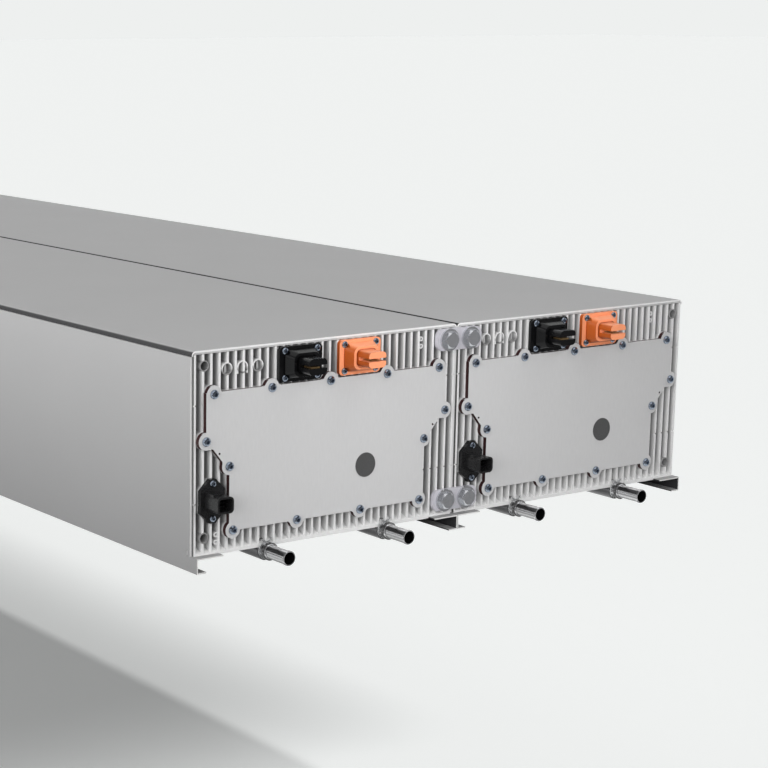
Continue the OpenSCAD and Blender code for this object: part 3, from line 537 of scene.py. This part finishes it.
def world_light():
    """Pale backdrop behind the object, a dim studio with soft boxes on the camera's side."""
    world = bpy.data.worlds.new("studio")
    bpy.context.scene.world = world
    world.use_nodes = True
    n = Nodes(world.node_tree)
    out = n.add("ShaderNodeOutputWorld")
    way = n.add("ShaderNodeTexCoord").outputs["Generated"]
    x, y, z = (n.axis(i, way) for i in range(3))
    box_top = n.both(n.step(z, *TOP_BOX_Z), n.band(x, *TOP_BOX_X))
    box_left = n.both(n.band(z, *LEFT_BOX_Z), n.step(x, *LEFT_BOX_X))
    box_right = n.both(n.band(z, *RIGHT_BOX_Z), n.step(x, *RIGHT_BOX_X))
    boxes = n.math("MAXIMUM", box_top, n.math("MAXIMUM", box_left, box_right))
    studio = n.mix(boxes, STUDIO_DARK, STUDIO_BOX)
    mirrored = n.mix(n.step(y, *BEHIND_Y), studio, BACKGROUND)
    camera_ray = n.add("ShaderNodeLightPath").outputs["Is Camera Ray"]
    soft = n.add("ShaderNodeBackground")
    soft.inputs["Color"].default_value = (1.0, 1.0, 1.0, 1.0)
    soft.inputs["Strength"].default_value = WORLD_LIGHT
    seen = n.add("ShaderNodeBackground")
    n.link(n.mix(camera_ray, mirrored, BACKGROUND), seen.inputs["Color"])
    mix = n.add("ShaderNodeMixShader")
    n.link(n.seen_ray(), mix.inputs[0])
    n.link(soft.outputs[0], mix.inputs[1])
    n.link(seen.outputs[0], mix.inputs[2])
    n.link(mix.outputs[0], out.inputs[0])


def lit_group(name, floor, state):
    """What a lamp lights: the floor alone, or everything but the floor."""
    group = bpy.data.collections.new(name)
    group.objects.link(floor)
    group.collection_objects[0].light_linking.link_state = state
    return group


def lamp(data, direction, group):
    """A lamp that shines one way on one group and isn't mirrored in metal."""
    obj = bpy.data.objects.new(data.name, data)
    bpy.context.collection.objects.link(obj)
    obj.rotation_mode = "QUATERNION"
    obj.rotation_quaternion = Vector(direction).to_track_quat("-Z", "Y")
    obj.visible_glossy = False
    obj.light_linking.receiver_collection = group
    return obj


def sun(name, direction, strength, angle, group):
    """A lamp far away; strength is the tone of a white face square to it, for any angle."""
    data = bpy.data.lights.new(name, "SUN")
    data.energy = strength * math.pi / math.cos(math.radians(angle / 2)) ** 2
    data.angle = math.radians(angle)
    lamp(data, direction, group)


def soft_box(name, place, target, size, watts, group):
    """A square lamp near the object, brighter on what is close to it."""
    data = bpy.data.lights.new(name, "AREA")
    data.energy = watts
    data.size = size
    obj = lamp(data, Vector(target) - Vector(place), group)
    obj.location = place
    obj.visible_camera = False


# Suns: name, direction, strength, angle across in degrees
FLOOR_SUNS = [
    ("shadow_hard", (-0.375, 0.28, -0.4), 0.355, 2.0),
    ("shadow_soft", (-0.4985, 1.0308, -1.0), 0.538, 25.0),
]
OBJECT_SUNS = [
    ("key", (-0.42, 0.25, -1.0), 0.22, 40.0),
    ("fill_front", (0.40, 1.0, -0.05), 0.21, 80.0),
    ("fill_left", (1.0, 0.15, 0.0), 0.99, 80.0),
    ("fill_right", (-1.0, 0.1, 0.0), 0.50, 40.0),
    ("fill_back", (-0.3, -1.0, -0.05), 0.50, 60.0),
]
# Soft box in front of the sockets: place and target in metres, side in metres, watts
BOX_AT = (-0.14, -1.62, 0.31)
BOX_TARGET = (-0.14, FRONT_Y, 0.12)
BOX_SIZE = 0.35
BOX_WATTS = 1.65


def lights(floor):
    floor_only = lit_group("floor_only", floor, "INCLUDE")
    object_only = lit_group("object_only", floor, "EXCLUDE")
    for row in FLOOR_SUNS:
        sun(*row, floor_only)
    for row in OBJECT_SUNS:
        sun(*row, object_only)
    soft_box("front_box", BOX_AT, BOX_TARGET, BOX_SIZE, BOX_WATTS, object_only)


def camera():
    data = bpy.data.cameras.new("camera")
    data.lens = CAM_LENS
    data.sensor_width = SENSOR
    data.clip_start = CLIP_NEAR
    data.clip_end = CLIP_FAR
    data.shift_x = CAM_SHIFT_X
    data.shift_y = CAM_SHIFT_Y
    obj = bpy.data.objects.new("camera", data)
    bpy.context.collection.objects.link(obj)
    az, p = math.radians(CAM_AZIMUTH), math.radians(CAM_PITCH)
    forward = Vector((math.sin(az) * math.cos(p), math.cos(az) * math.cos(p), -math.sin(p)))
    right = Vector((math.cos(az), -math.sin(az), 0.0))
    rot = Matrix((right, right.cross(forward), -forward)).transposed().to_4x4()
    obj.matrix_world = Matrix.Translation(CAM_AT) @ rot
    bpy.context.scene.camera = obj


world_light()
lights(stage_floor())
camera()
bpy.context.scene.view_settings.view_transform = "Standard"
